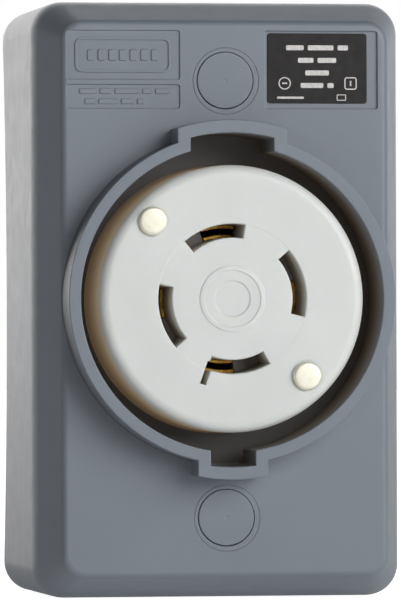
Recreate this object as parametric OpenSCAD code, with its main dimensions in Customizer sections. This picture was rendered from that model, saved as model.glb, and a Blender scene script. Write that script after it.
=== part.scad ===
// Shrouded four-wire locking power receptacle on a deep open-backed housing.
// Origin: centre of the rear rim plane, the wall that it is screwed to. Front faces -Y, +Z is up.

/* [Housing] */
// Width of the housing at its widest section
housing_w = 71.2; // [70:0.1:74]
// Height of the housing
housing_h = 114.3; // [110:0.1:120]
// Depth from the wall to the flat front
housing_d = 55; // [54:0.5:62]
// Thickness of the side walls and of the front
wall_t = 3; // [2:0.1:3.2]
// Corner radius of the outline, seen from the front
corner_r = 6; // [4:0.1:8]
// How far the bevelled front edge leans in
bevel_in = 4.35; // [3.5:0.05:4.6]
// How deep the bevelled front edge runs back
bevel_back = 11.4; // [10:0.1:12]

/* [Shroud ring] */
// Inner radius of the ring that stands on the front
ring_r = 29.05; // [28.9:0.05:29.4]
// Thickness of the ring at its rim
ring_t = 2.3; // [2:0.1:2.8]
// Height of the rim over the flat front
ring_h = 8.4; // [6:0.1:10]
// Depth of the annular gap below the rim
gap_depth = 19.4; // [18:0.1:20]
// Width of the upper keyway
key_top_w = 16; // [12:0.1:17]
// Width of the lower keyway
key_bottom_w = 8.6; // [6:0.1:10]

/* [Receptacle] */
// Radius of the white contact face
face_r = 25.4; // [25:0.05:25.5]
// Inner radius of the four blade slots
slot_in_r = 11.6; // [11.4:0.05:11.8]
// Outer radius of the four blade slots
slot_out_r = 14.2; // [14:0.05:14.3]
// Radius of the moulded back body
back_r = 24; // [23.8:0.1:24.2]

/* [Mounting] */
// Distance between the two mounting screws
mount_pitch = 83.34; // [82:0.01:84]
// Thread radius of a mounting screw
mount_screw_r = 1.75; // [1.6:0.01:1.8]
// How far the mounting screws reach behind the wall plane
mount_reach = 8.5; // [4:0.5:12]
// Radius of a mounting screw's plain shank, thinner than its rolled thread
mount_shank_r = 1.55; // [1.4:0.01:1.58]
// Radius of a snap-in screw cap
cap_r = 5.4; // [5:0.05:5.6]

/* [Hidden] */
$fn = 96;
// overlap of joined shapes, and overshoot of cutting shapes
eps = 0.01;
over = 1;

// levels, measured forward from the wall plane
rim_z = housing_d + ring_h;
floor_z = rim_z - gap_depth;
floor_t = 2.5;
base_z = floor_z - floor_t;
base_t = 2.6;
bridge_t = 1.6;
bridge_front_z = base_z - base_t;
bridge_z = bridge_front_z - bridge_t;
back_z = 12;
face_drop = 0.4;
face_z = rim_z - face_drop;

// housing details
shoulder_z = housing_d - bevel_back;
hull_fn = 32;
corner_ease = 0.5;
bevel_steps = [[0, 0], [0.08, 0.18], [0.81, 0.92], [1, 1]];
front_in = housing_d - wall_t;
tube_t = 2.9;
skirt_r = 33.3;
groove_r = 31.5;
groove_h = 5.2;
key_top_r = 31.5;
key_top_out_w = 21;
key_top_out_r = 34;
key_bottom_r = 31.9;
key_bottom_out_w = 13.5;
key_bottom_out_r = 34.3;
post_r = 7;
boss_r = 3.2;
boss_rise = 2;
mount_y = mount_pitch / 2;
cap_t = 2;
cap_clear = 0.1;
cap_drop = 0.2;
cap_recess = cap_t + cap_drop;
seat_depth = 12.5;
seat_z = housing_d - seat_depth;
head_clear_r = 4.2;
mount_hole_r = 2.1;
panel_depth = 0.3;
recess_depth = 0.5;
badge_panel = [-19.65, 46.5, 21.9, 9.4];
title_panel = [-19.65, 38.6, 21.9, 4.6];
label_recess = [18.65, 43.75, 21.9, 14.9];
label_size = [17.9, 44.05, 19.3, 13.4];
label_t = 0.25;
label_corner_r = 0.6;

// bridge and its tapping screws
bridge_in_r = 23.6;
bridge_out_r = 32;
ear_w = 20;
ear_y = 48.4;
tab_angle = 45;
tab_at = 33.5;
tab_r = 4;
tab_hole_r = 1.3;
tap_r = 1.1;
tap_hole_r = 1.15;
tap_head_r = 2.4;
tap_head_t = 1.6;
tap_drive_span = 2.9;
tap_drive_depth = 0.6;
tap_len = 9;
tap_gap = 1;

// receptacle face, slots and rivets
spigot_gap_r = 25.7;
neck_in = 0.5;
flange_r = 27.8;
face_boss_r = 23.3;
edge_r = 2;
slot_spans = [[80, 50], [169, 51], [250, 50], [-14, 54]];
shelf_drop = 11.5;
shelf_z = face_z - shelf_drop;
through_arc = 29;
key_slot_angle = 250.5;
key_slot_out_r = 17.2;
key_slot_w = 1.2;
rivet_spots = [[136, 21.2], [-45.8, 20.5]];
rivet_r = 1.6;
rivet_hole_r = 1.65;
rivet_head_r = 2.75;
rivet_head_t = 1;
rivet_edge_r = 0.6;
rivet_tail_r = 2.6;
rivet_tail_t = 1;

// contacts, clamps and terminal screws, one set on each of four axes
terminal_angles = [90, 180, 0, 270];
contact_spans = [slot_spans[0], slot_spans[1], slot_spans[3], slot_spans[2]];
span_margin = 1;
leaf_t = 0.6;
leaf_play = 0.05;
leaf_drop = 11;
leaf_top = face_z - leaf_drop;
web_rise = 22.4;
web_z = back_z + web_rise;
web_t = 1.5;
tab_in_r = slot_in_r + 1;
leg_r = 17.4;
leg_t = 1.5;
leg_w = 9;
leg_lift = 2;
leg_z = back_z + leg_lift;
leg_out_r = leg_r + leg_t;
slot_play = 0.1;
pocket_w = 11;
pocket_h = 20;
pocket_z = back_z + pocket_h;
body_flange_t = 3.5;
body_flange_z = bridge_z - body_flange_t;
body_strap_w = 6.4;
terminal_lift = 10;
terminal_z = back_z + terminal_lift;
clamp_rest_r = 22.2;
clamp_t = 1.4;
clamp_h = 14;
thread_r = 1.9;
tapped_r = 1.95;
clamp_hole_r = 2;
screw_tip_r = 16.8;
screw_head_r = 4.1;
screw_head_t = 2.4;
core_bore_r = 2.3;
core_bore_in = 13.6;
drive_w = 1.1;
drive_depth = 1.2;
strap_w = 6;
strap_t = 0.8;
strap_out_r = 27.2;
strap_lift = 8;
strap_low_z = terminal_z + strap_lift;

// mounting screws, washers and caps
pan_r = 3.4;
pan_t = 2.4;
washer_r = 4;
washer_t = 0.8;
washer_play = 0.05;
washer_bore_r = mount_shank_r + washer_play;
thread_end_z = 14;
washer_drop = 9;
washer_z = bridge_z - washer_drop;
cap_leg_in_r = 3.5;
cap_leg_r = 4.15;
cap_leg_h = 1.2;
cap_leg_angle = 70;

plastic_grey = [0.44, 0.48, 0.52];
nylon_white = [0.92, 0.92, 0.88];
nylon_dark = [0.12, 0.12, 0.13];
steel_zinc = [0.75, 0.76, 0.78];
brass_col = [0.78, 0.62, 0.3];
nickel_col = [0.86, 0.85, 0.8];
fibre_red = [0.5, 0.22, 0.16];
ground_green = [0.2, 0.5, 0.28];
label_black = [0.2, 0.18, 0.18];

// everything is drawn with +Z towards the viewer, and stood up here
module upright() {
    rotate([90, 0, 0]) children();
}

module rounded_rect(w, h, r) {
    square([w - 2 * r, h], center = true);
    square([w, h - 2 * r], center = true);
    for (sx = [-1, 1], sy = [-1, 1])
        translate([sx * (w / 2 - r), sy * (h / 2 - r)]) circle(r);
}

module ring(r_out, r_in, h) {
    difference() {
        cylinder(r = r_out, h = h);
        translate([0, 0, -over]) cylinder(r = r_in, h = h + 2 * over);
    }
}

module tube_sector(r_in, r_out, start, span, z, h) {
    translate([0, 0, z])
        rotate_extrude(angle = span, start = start)
            translate([r_in, 0]) square([r_out - r_in, h]);
}

module box_at(spot, depth) {
    translate([spot[0] - spot[2] / 2, spot[1] - spot[3] / 2, 0]) cube([spot[2], spot[3], depth]);
}

// a shell of the bevelled front: inset is the wall taken off all round
module bevelled_front(inset, z_top) {
    straight = shoulder_z;
    rise = z_top - straight;
    linear_extrude(straight + eps)
        rounded_rect(housing_w - 2 * inset, housing_h - 2 * inset, corner_r - inset * corner_ease);
    hull()
        for (s = bevel_steps)
            translate([0, 0, straight + s[1] * rise])
                linear_extrude(eps)
                    rounded_rect(
                        housing_w - 2 * inset - 2 * s[0] * bevel_in,
                        housing_h - 2 * inset - 2 * s[0] * bevel_in,
                        corner_r - inset * corner_ease - s[0] * bevel_in * corner_ease,
                        $fn = hull_fn
                    );
}

// block whose outer end is an arc about the ring's centre
module key_block(w, r, z, h) {
    intersection() {
        translate([-w / 2, 0, z]) cube([w, r + over, h]);
        translate([0, 0, z]) cylinder(r = r, h = h);
    }
}

module at_mounts() {
    for (s = [-1, 1]) translate([0, s * mount_y, 0]) children();
}

module at_tabs() {
    for (s = [0, 180]) rotate(tab_angle + s) translate([tab_at, 0, 0]) children();
}

module housing() {
    color(plastic_grey) upright() difference() {
        union() {
            difference() {
                bevelled_front(0, housing_d - eps);
                translate([0, 0, -eps]) bevelled_front(wall_t, front_in);
            }
            translate([0, 0, bridge_front_z]) cylinder(r = skirt_r, h = floor_z + groove_h - bridge_front_z);
            translate([0, 0, floor_z]) cylinder(r = ring_r + tube_t, h = front_in - floor_z);
            translate([0, 0, floor_z]) cylinder(r = ring_r + ring_t, h = gap_depth);
            key_block(key_top_out_w, key_top_out_r, front_in, rim_z - front_in);
            rotate(180) key_block(key_bottom_out_w, key_bottom_out_r, front_in, rim_z - front_in);
            translate([0, 0, bridge_front_z]) {
                at_mounts() cylinder(r = post_r, h = front_in + over - bridge_front_z);
                at_tabs() cylinder(r = boss_r, h = shoulder_z + boss_rise - bridge_front_z);
            }
        }
        translate([0, 0, floor_z]) cylinder(r = ring_r, h = gap_depth + over);
        translate([0, 0, floor_z]) cylinder(r = groove_r, h = groove_h);
        translate([0, 0, base_z - over]) cylinder(r = spigot_gap_r, h = floor_t + 2 * over);
        translate([0, 0, bridge_front_z - over]) cylinder(r = ring_r, h = base_t + over);
        key_block(key_top_w, key_top_r, floor_z, gap_depth + over);
        rotate(180) key_block(key_bottom_w, key_bottom_r, floor_z, gap_depth + over);
        at_mounts() {
            translate([0, 0, housing_d - cap_recess]) cylinder(r = cap_r + cap_clear, h = cap_recess + over);
            translate([0, 0, seat_z]) cylinder(r = head_clear_r, h = housing_d - seat_z);
            translate([0, 0, bridge_front_z - over])
                cylinder(r = mount_hole_r, h = seat_z - bridge_front_z + 2 * over);
        }
        at_tabs() translate([0, 0, bridge_front_z - over]) cylinder(r = tap_hole_r, h = tap_len + over);
        for (spot = [badge_panel, title_panel])
            translate([0, 0, housing_d - panel_depth]) box_at(spot, panel_depth + over);
        translate([0, 0, housing_d - recess_depth]) box_at(label_recess, recess_depth + over);
    }
}

module face_profile() {
    polygon(concat(
        [[0, bridge_z], [face_boss_r, bridge_z], [face_boss_r, bridge_front_z], [flange_r, bridge_front_z],
         [flange_r, base_z], [face_r - neck_in, base_z], [face_r - neck_in, floor_z], [face_r, floor_z]],
        [for (a = [0:45:90]) [face_r - edge_r + edge_r * cos(a), face_z - edge_r + edge_r * sin(a)]],
        [[0, face_z]]
    ));
}

module receptacle_face() {
    color(nylon_white) upright() difference() {
        rotate_extrude() face_profile();
        for (s = slot_spans) {
            tube_sector(slot_in_r, slot_out_r, s[0], s[1], shelf_z, rim_z - shelf_z);
            tube_sector(slot_in_r, slot_out_r, s[0], through_arc, bridge_z - over, rim_z - bridge_z + over);
        }
        rotate(key_slot_angle)
            translate([tab_in_r, -key_slot_w / 2, shelf_z])
                cube([key_slot_out_r - tab_in_r, key_slot_w, rim_z - shelf_z]);
        at_rivets(bridge_z - over) cylinder(r = rivet_hole_r, h = rim_z - bridge_z + 2 * over);
    }
}

module at_rivets(z) {
    for (s = rivet_spots) rotate(s[0]) translate([s[1], 0, z]) children();
}

module back_body() {
    color(nylon_dark) upright() difference() {
        union() {
            translate([0, 0, back_z]) cylinder(r = back_r, h = bridge_z - back_z);
            translate([0, 0, body_flange_z]) cylinder(r = flange_r, h = bridge_z - body_flange_z);
        }
        for (i = [0:3]) {
            s = contact_spans[i];
            tube_sector(slot_in_r, slot_out_r, s[0], through_arc, web_z, bridge_z - web_z + over);
            rotate(terminal_angles[i]) {
                translate([leg_r, -pocket_w / 2, back_z - over]) cube([back_r, pocket_w, pocket_h + over]);
                translate([tab_in_r, -leg_w / 2 - slot_play, web_z])
                    cube([leg_out_r - tab_in_r, leg_w + 2 * slot_play, bridge_z - web_z + over]);
                translate([leg_r, -leg_w / 2 - slot_play, pocket_z - over])
                    cube([leg_t, leg_w + 2 * slot_play, web_z - pocket_z + 2 * over]);
                translate([core_bore_in, 0, terminal_z]) rotate([0, 90, 0])
                    cylinder(r = core_bore_r, h = leg_r - core_bore_in + over);
            }
        }
        rotate(terminal_angles[3])
            translate([leg_out_r - eps, -body_strap_w / 2, pocket_z - over])
                cube([back_r, body_strap_w, bridge_z - pocket_z + 2 * over]);
        at_rivets(back_z - over) cylinder(r = rivet_hole_r, h = bridge_z - back_z + 2 * over);
    }
}

module mounting_bridge() {
    color(steel_zinc) upright() translate([0, 0, bridge_z]) difference() {
        union() {
            cylinder(r = bridge_out_r, h = bridge_t);
            translate([-ear_w / 2, -ear_y, 0]) cube([ear_w, 2 * ear_y, bridge_t]);
            at_tabs() cylinder(r = tab_r, h = bridge_t);
        }
        translate([0, 0, -over]) {
            cylinder(r = bridge_in_r, h = bridge_t + 2 * over);
            at_mounts() cylinder(r = mount_hole_r, h = bridge_t + 2 * over);
            at_tabs() cylinder(r = tab_hole_r, h = bridge_t + 2 * over);
        }
    }
}

module bridge_screws() {
    color(steel_zinc) upright() at_tabs() {
        translate([0, 0, bridge_z - eps]) cylinder(r = tap_r, h = tap_len + bridge_t - tap_gap + eps);
        translate([0, 0, bridge_z - tap_head_t]) difference() {
            cylinder(r = tap_head_r, h = tap_head_t);
            for (a = [0, 90]) rotate(a)
                translate([-tap_drive_span / 2, -drive_w / 2, -eps])
                    cube([tap_drive_span, drive_w, tap_drive_depth]);
        }
    }
}

module assembly_rivets() {
    color(nickel_col) upright() {
        at_rivets(0) {
            translate([0, 0, back_z - rivet_tail_t]) {
                cylinder(r = rivet_r, h = face_z - back_z + rivet_tail_t + eps);
                cylinder(r = rivet_tail_r, h = rivet_tail_t);
            }
            rotate_extrude() translate([0, face_z]) polygon(concat(
                [[0, 0], [rivet_head_r, 0]],
                [for (a = [0:30:90])
                    [rivet_head_r - rivet_edge_r * (1 - cos(a)), rivet_head_t - rivet_edge_r * (1 - sin(a))]],
                [[0, rivet_head_t]]
            ));
        }
    }
}

// i picks the axis: two curved leaves on a web, a tab and a terminal leg
module contact(i) {
    s = contact_spans[i];
    start = s[0] + span_margin;
    span = through_arc - 2 * span_margin;
    in_r = slot_in_r + leaf_play;
    out_r = slot_out_r - leaf_play;
    color(brass_col) upright() {
        tube_sector(in_r, in_r + leaf_t, start, span, web_z, leaf_top - web_z);
        tube_sector(out_r - leaf_t, out_r, start, span, web_z, leaf_top - web_z);
        tube_sector(in_r, out_r, start, span, web_z, web_t);
        rotate(terminal_angles[i]) difference() {
            union() {
                translate([tab_in_r, -leg_w / 2, web_z]) cube([leg_out_r - tab_in_r, leg_w, web_t]);
                translate([leg_r, -leg_w / 2, leg_z]) cube([leg_t, leg_w, web_z + web_t - leg_z]);
            }
            translate([leg_r - over, 0, terminal_z]) rotate([0, 90, 0])
                cylinder(r = tapped_r, h = leg_t + 2 * over);
        }
    }
}

module wire_clamp(i) {
    color(nickel_col) upright() rotate(terminal_angles[i]) difference() {
        translate([clamp_rest_r, -leg_w / 2, terminal_z - clamp_h / 2]) cube([clamp_t, leg_w, clamp_h]);
        translate([clamp_rest_r - over, 0, terminal_z]) rotate([0, 90, 0])
            cylinder(r = clamp_hole_r, h = clamp_t + 2 * over);
    }
}

module terminal_screw(i, tint) {
    shank = clamp_rest_r + clamp_t - screw_tip_r;
    color(tint) upright() rotate(terminal_angles[i])
        translate([screw_tip_r, 0, terminal_z]) rotate([0, 90, 0]) {
            cylinder(r = thread_r, h = shank + eps);
            translate([0, 0, shank]) difference() {
                cylinder(r = screw_head_r, h = screw_head_t);
                translate([0, 0, screw_head_t - drive_depth])
                    for (a = [0, 90]) rotate(a)
                        translate([-screw_head_r - over, -drive_w / 2, 0])
                            cube([2 * (screw_head_r + over), drive_w, drive_depth + over]);
            }
        }
}

module ground_strap() {
    color(brass_col) upright() rotate(terminal_angles[3]) {
        translate([leg_out_r, -strap_w / 2, strap_low_z]) cube([strap_t, strap_w, bridge_z - strap_low_z]);
        translate([leg_out_r, -strap_w / 2, bridge_z - strap_t])
            cube([strap_out_r - leg_out_r, strap_w, strap_t]);
    }
}

// s is 1 for the upper one and -1 for the lower one
module mounting_screw(s) {
    color(steel_zinc) upright() translate([0, s * mount_y, 0]) {
        translate([0, 0, -mount_reach]) cylinder(r = mount_screw_r, h = thread_end_z + mount_reach);
        translate([0, 0, thread_end_z - eps])
            cylinder(r = mount_shank_r, h = seat_z - thread_end_z + 2 * eps);
        translate([0, 0, seat_z]) difference() {
            cylinder(r = pan_r, h = pan_t);
            translate([-pan_r - over, -drive_w / 2, pan_t - drive_depth])
                cube([2 * (pan_r + over), drive_w, drive_depth + over]);
        }
    }
}

module retaining_washer(s) {
    color(fibre_red) upright() translate([0, s * mount_y, washer_z]) ring(washer_r, washer_bore_r, washer_t);
}

module screw_cap(s) {
    color(plastic_grey) upright() translate([0, s * mount_y, 0]) {
        translate([0, 0, housing_d - cap_t]) cylinder(r = cap_r, h = cap_t);
        for (a = [0, 180])
            tube_sector(cap_leg_in_r, cap_leg_r, a - cap_leg_angle / 2, cap_leg_angle,
                housing_d - cap_t - cap_leg_h, cap_leg_h + eps);
    }
}

module rating_label() {
    color(label_black) upright()
        translate([label_size[0], label_size[1], housing_d - recess_depth])
            linear_extrude(label_t) rounded_rect(label_size[2], label_size[3], label_corner_r);
}

housing();
receptacle_face();
back_body();
mounting_bridge();
bridge_screws();
assembly_rivets();
contact(0);  // contact_x
contact(1);  // contact_y
contact(2);  // contact_z
contact(3);  // contact_ground
wire_clamp(0);  // wire_clamp_x
wire_clamp(1);  // wire_clamp_y
wire_clamp(2);  // wire_clamp_z
wire_clamp(3);  // wire_clamp_ground
terminal_screw(0, brass_col);  // terminal_screw_x
terminal_screw(1, brass_col);  // terminal_screw_y
terminal_screw(2, brass_col);  // terminal_screw_z
terminal_screw(3, ground_green);  // terminal_screw_ground
ground_strap();
mounting_screw(1);  // mounting_screw_upper
mounting_screw(-1);  // mounting_screw_lower
retaining_washer(1);  // retaining_washer_upper
retaining_washer(-1);  // retaining_washer_lower
screw_cap(1);  // screw_cap_upper
screw_cap(-1);  // screw_cap_lower
rating_label();
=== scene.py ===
import math

import bmesh
import bpy
from mathutils import Matrix, Vector, noise


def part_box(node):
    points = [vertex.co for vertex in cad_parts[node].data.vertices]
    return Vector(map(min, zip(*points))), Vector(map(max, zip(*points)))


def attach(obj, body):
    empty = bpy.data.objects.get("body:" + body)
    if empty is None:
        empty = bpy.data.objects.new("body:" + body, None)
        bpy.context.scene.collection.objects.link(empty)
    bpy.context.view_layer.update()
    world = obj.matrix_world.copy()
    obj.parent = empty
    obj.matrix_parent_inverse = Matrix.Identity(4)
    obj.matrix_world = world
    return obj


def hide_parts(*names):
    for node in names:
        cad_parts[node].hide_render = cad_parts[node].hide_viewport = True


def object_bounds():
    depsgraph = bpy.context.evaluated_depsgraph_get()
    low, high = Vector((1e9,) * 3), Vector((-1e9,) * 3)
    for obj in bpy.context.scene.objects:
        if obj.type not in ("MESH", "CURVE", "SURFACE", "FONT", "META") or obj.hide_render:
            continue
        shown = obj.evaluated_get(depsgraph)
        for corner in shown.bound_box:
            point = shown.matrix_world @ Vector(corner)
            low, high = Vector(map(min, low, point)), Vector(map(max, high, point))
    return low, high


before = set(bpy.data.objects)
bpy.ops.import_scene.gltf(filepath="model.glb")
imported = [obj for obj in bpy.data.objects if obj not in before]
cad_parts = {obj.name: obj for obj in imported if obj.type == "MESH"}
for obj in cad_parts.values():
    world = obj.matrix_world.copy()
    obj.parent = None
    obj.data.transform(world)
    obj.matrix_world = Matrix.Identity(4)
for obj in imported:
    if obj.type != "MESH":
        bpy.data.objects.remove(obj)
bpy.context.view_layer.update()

# Pieces are drawn in millimetres with +X right, +Y up and +Z out of the wall towards the viewer,
# and stood up into the row frame at the end.
STAND_UP = Matrix.Rotation(math.radians(90), 4, "X") @ Matrix.Scale(0.001, 4)
ROOT = "housing_assembly"


def node_box(node):
    """A CAD node's lowest and highest corner in the drawing frame, in millimetres."""
    low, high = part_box(node)
    return (
        Vector((low.x, low.z, -high.y)) * 1000,
        Vector((high.x, high.z, -low.y)) * 1000,
    )


# ---- sizes, read from the CAD frame ------------------------------------------------------------

shell_low, shell_high = node_box("housing")
cap_low, cap_high = node_box("screw_cap_upper")
face_low, face_high = node_box("receptacle_face")
rivet_low, rivet_high = node_box("assembly_rivets")
bridge_low, bridge_high = node_box("mounting_bridge")
body_low, body_high = node_box("back_body")
label_low, label_high = node_box("rating_label")
screw_low, screw_high = node_box("mounting_screw_upper")
washer_low, washer_high = node_box("retaining_washer_upper")

WIDTH = shell_high.x - shell_low.x
HEIGHT = shell_high.y - shell_low.y
RIM_Z = shell_high.z
FRONT_Z = cap_high.z
FACE_Z = face_high.z
MOUNT_Y = (cap_low.y + cap_high.y) / 2

WALL = 3.0
CORNER_R = 6.0
CORNER_EASE = 0.5
BEVEL_IN = 4.35
BEVEL_BACK = 11.4
SHOULDER_Z = FRONT_Z - BEVEL_BACK
SIDE_BOW = 0.85
RING_R = 29.05
RING_OUT_R = 31.35
TUBE_R = 31.95
SKIRT_R = 33.3
GROOVE_R = 31.5
GROOVE_H = 5.2
FLOOR_Z = RIM_Z - 19.4
BASE_Z = FLOOR_Z - 2.5
BASE_R = 29.05
SPIGOT_GAP_R = 25.7
KEY_TOP = (16.0, 31.5)
KEY_TOP_OUT = (21.0, 34.0)
KEY_BOTTOM = (8.6, 31.9)
KEY_BOTTOM_OUT = (13.5, 34.3)
RIM_ROUND = 0.22
POST_R = 7.0
SEAT_Z = FRONT_Z - 12.5
CAP_R = 5.4
PANELS = (((-30.6, 41.8), (-8.7, 51.2)), ((-30.6, 36.3), (-8.7, 40.9)))
LABEL_RECESS = (7.7, 29.6, 36.3, 51.2)


# ---- mesh helpers --------------------------------------------------------------------------------

def new_object(name, bm):
    bmesh.ops.recalc_face_normals(bm, faces=bm.faces)
    mesh = bpy.data.meshes.new(name)
    bm.to_mesh(mesh)
    bm.free()
    obj = bpy.data.objects.new(name, mesh)
    bpy.context.scene.collection.objects.link(obj)
    return obj


def loft(name, loops, cap_start=True, cap_end=True, closed=False):
    """A skin over loops of equal length; closed joins the last loop to the first."""
    bm = bmesh.new()
    rings = [[bm.verts.new(p) for p in loop] for loop in loops]
    pairs = list(zip(rings, rings[1:]))
    if closed:
        pairs.append((rings[-1], rings[0]))
    for a, b in pairs:
        n = len(a)
        for i in range(n):
            bm.faces.new((a[i], a[(i + 1) % n], b[(i + 1) % n], b[i]))
    if cap_start and not closed:
        bm.faces.new(list(reversed(rings[0])))
    if cap_end and not closed:
        bm.faces.new(rings[-1])
    return new_object(name, bm)


def lathe(name, profile, steps=96, at=(0, 0), axis_turn=None):
    """A turned solid: profile is (radius, z) from one end of the axis to the other."""
    bm = bmesh.new()
    rows = []
    for r, z in profile:
        if r < 1e-6:
            rows.append([bm.verts.new((at[0], at[1], z))])
            continue
        rows.append([
            bm.verts.new((
                at[0] + r * math.cos(2 * math.pi * i / steps),
                at[1] + r * math.sin(2 * math.pi * i / steps),
                z,
            ))
            for i in range(steps)
        ])
    for a, b in zip(rows, rows[1:]):
        for i in range(steps):
            j = (i + 1) % steps
            if len(a) == 1 and len(b) == 1:
                continue
            if len(a) == 1:
                bm.faces.new((a[0], b[i], b[j]))
            elif len(b) == 1:
                bm.faces.new((a[i], a[j], b[0]))
            else:
                bm.faces.new((a[i], a[j], b[j], b[i]))
    if axis_turn is not None:
        bm.transform(axis_turn)
    return new_object(name, bm)


def disc_profile(r, low, high, rounding=0.0, steps=4):
    """Profile of a plain disc with both rims rounded."""
    points = [(0, low)]
    if rounding:
        for i in range(steps + 1):
            a = math.radians(90 * i / steps)
            points.append((r - rounding + rounding * math.sin(a), low + rounding - rounding * math.cos(a)))
        for i in range(steps + 1):
            a = math.radians(90 * i / steps)
            points.append((r - rounding + rounding * math.cos(a), high - rounding + rounding * math.sin(a)))
    else:
        points += [(r, low), (r, high)]
    return points + [(0, high)]


def cut_disc(r, low, high, at=(0, 0), steps=96):
    return lathe("cutter", disc_profile(r, low, high), steps, at)


def block(name, x0, x1, y0, y1, z0, z1):
    corners = ((x0, y0), (x1, y0), (x1, y1), (x0, y1))
    return loft(name, [[(x, y, z) for x, y in corners] for z in (z0, z1)])


def combine(target, tool, how):
    """Exact boolean, applied; the tool is used up."""
    mod = target.modifiers.new("combine", "BOOLEAN")
    mod.operation = how
    mod.solver = "EXACT"
    mod.object = tool
    bake_modifiers(target)
    bpy.data.objects.remove(tool)


def bake_modifiers(obj):
    bpy.context.view_layer.update()
    graph = bpy.context.evaluated_depsgraph_get()
    mesh = bpy.data.meshes.new_from_object(obj.evaluated_get(graph))
    old = obj.data
    obj.modifiers.clear()
    obj.data = mesh
    bpy.data.meshes.remove(old)


def tidy_mesh(obj, merge=0.004):
    bm = bmesh.new()
    bm.from_mesh(obj.data)
    bmesh.ops.remove_doubles(bm, verts=bm.verts, dist=merge)
    bmesh.ops.dissolve_degenerate(bm, edges=bm.edges, dist=merge)
    bm.to_mesh(obj.data)
    bm.free()


def round_edges(obj, width, segments=2, angle=35):
    mod = obj.modifiers.new("round", "BEVEL")
    mod.width = width
    mod.segments = segments
    mod.limit_method = "ANGLE"
    mod.angle_limit = math.radians(angle)
    mod.use_clamp_overlap = True
    bake_modifiers(obj)


def shade(obj, angle=32):
    """Smooth shading with sharp creases, weighted by area so that large flats stay flat."""
    obj.data.shade_smooth()
    obj.data.set_sharp_from_angle(angle=math.radians(angle))
    weighted = obj.modifiers.new("weighted", "WEIGHTED_NORMAL")
    weighted.keep_sharp = True


def place(obj, body, slot, material, *nodes, angle=32):
    obj.data.transform(STAND_UP)
    shade(obj, angle)
    obj.data.materials.clear()
    obj.data.materials.append(material)
    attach(obj, body)
    if nodes:
        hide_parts(*nodes)
    return obj


# ---- procedural materials ------------------------------------------------------------------------

def srgb(r, g, b):
    def linear(c):
        c /= 255
        return c / 12.92 if c <= 0.04045 else ((c + 0.055) / 1.055) ** 2.4
    return (linear(r), linear(g), linear(b), 1.0)


class Shader:
    """A small wrapper for building one Principled material out of procedural nodes."""

    def __init__(self, name, **sockets):
        self.material = bpy.data.materials.new(name)
        self.material.use_nodes = True
        self.tree = self.material.node_tree
        self.bsdf = self.tree.nodes["Principled BSDF"]
        self.place = self.node("ShaderNodeTexCoord").outputs["Object"]
        for key, value in sockets.items():
            self.bsdf.inputs[key.replace("_", " ")].default_value = value

    def node(self, kind, **values):
        made = self.tree.nodes.new(kind)
        for key, value in values.items():
            setattr(made, key, value)
        return made

    def link(self, a, b):
        self.tree.links.new(a, b)

    def noise(self, scale, detail=2.0, roughness=0.5, stretch=None):
        tex = self.node("ShaderNodeTexNoise")
        tex.inputs["Scale"].default_value = scale
        tex.inputs["Detail"].default_value = detail
        tex.inputs["Roughness"].default_value = roughness
        if stretch is None:
            self.link(self.place, tex.inputs["Vector"])
        else:
            mapping = self.node("ShaderNodeMapping")
            mapping.inputs["Scale"].default_value = stretch
            self.link(self.place, mapping.inputs["Vector"])
            self.link(mapping.outputs["Vector"], tex.inputs["Vector"])
        return tex.outputs["Fac"]

    def ramp(self, value, stops):
        made = self.node("ShaderNodeValToRGB")
        made.color_ramp.elements.remove(made.color_ramp.elements[1])
        made.color_ramp.elements[0].position = stops[0][0]
        made.color_ramp.elements[0].color = stops[0][1]
        for where, colour in stops[1:]:
            made.color_ramp.elements.new(where).color = colour
        self.link(value, made.inputs["Fac"])
        return made.outputs["Color"]

    def spread(self, value, low, high, source=(0.3, 0.7)):
        made = self.node("ShaderNodeMapRange")
        made.inputs["From Min"].default_value = source[0]
        made.inputs["From Max"].default_value = source[1]
        made.inputs["To Min"].default_value = low
        made.inputs["To Max"].default_value = high
        self.link(value, made.inputs["Value"])
        return made.outputs["Result"]

    def mix(self, factor, a, b):
        made = self.node("ShaderNodeMix", data_type="RGBA")
        for socket, value in ((made.inputs[0], factor), (made.inputs[6], a), (made.inputs[7], b)):
            if isinstance(value, (float, tuple)):
                socket.default_value = value
            else:
                self.link(value, socket)
        return made.outputs[2]

    def colour(self, output):
        self.link(output, self.bsdf.inputs["Base Color"])

    def rough(self, output):
        self.link(output, self.bsdf.inputs["Roughness"])

    def bump(self, height, strength, distance, edge=None):
        made = self.node("ShaderNodeBump")
        made.inputs["Strength"].default_value = strength
        made.inputs["Distance"].default_value = distance
        self.link(height, made.inputs["Height"])
        if edge:
            soft = self.node("ShaderNodeBevel", samples=4)
            soft.inputs["Radius"].default_value = edge
            self.link(soft.outputs["Normal"], made.inputs["Normal"])
        self.link(made.outputs["Normal"], self.bsdf.inputs["Normal"])


def multiply(shader, a, b):
    made = shader.node("ShaderNodeMix", data_type="RGBA", blend_type="MULTIPLY")
    made.inputs[0].default_value = 1.0
    for socket, value in ((made.inputs[6], a), (made.inputs[7], b)):
        if isinstance(value, tuple):
            socket.default_value = value
        else:
            shader.link(value, socket)
    return made.outputs[2]


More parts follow.
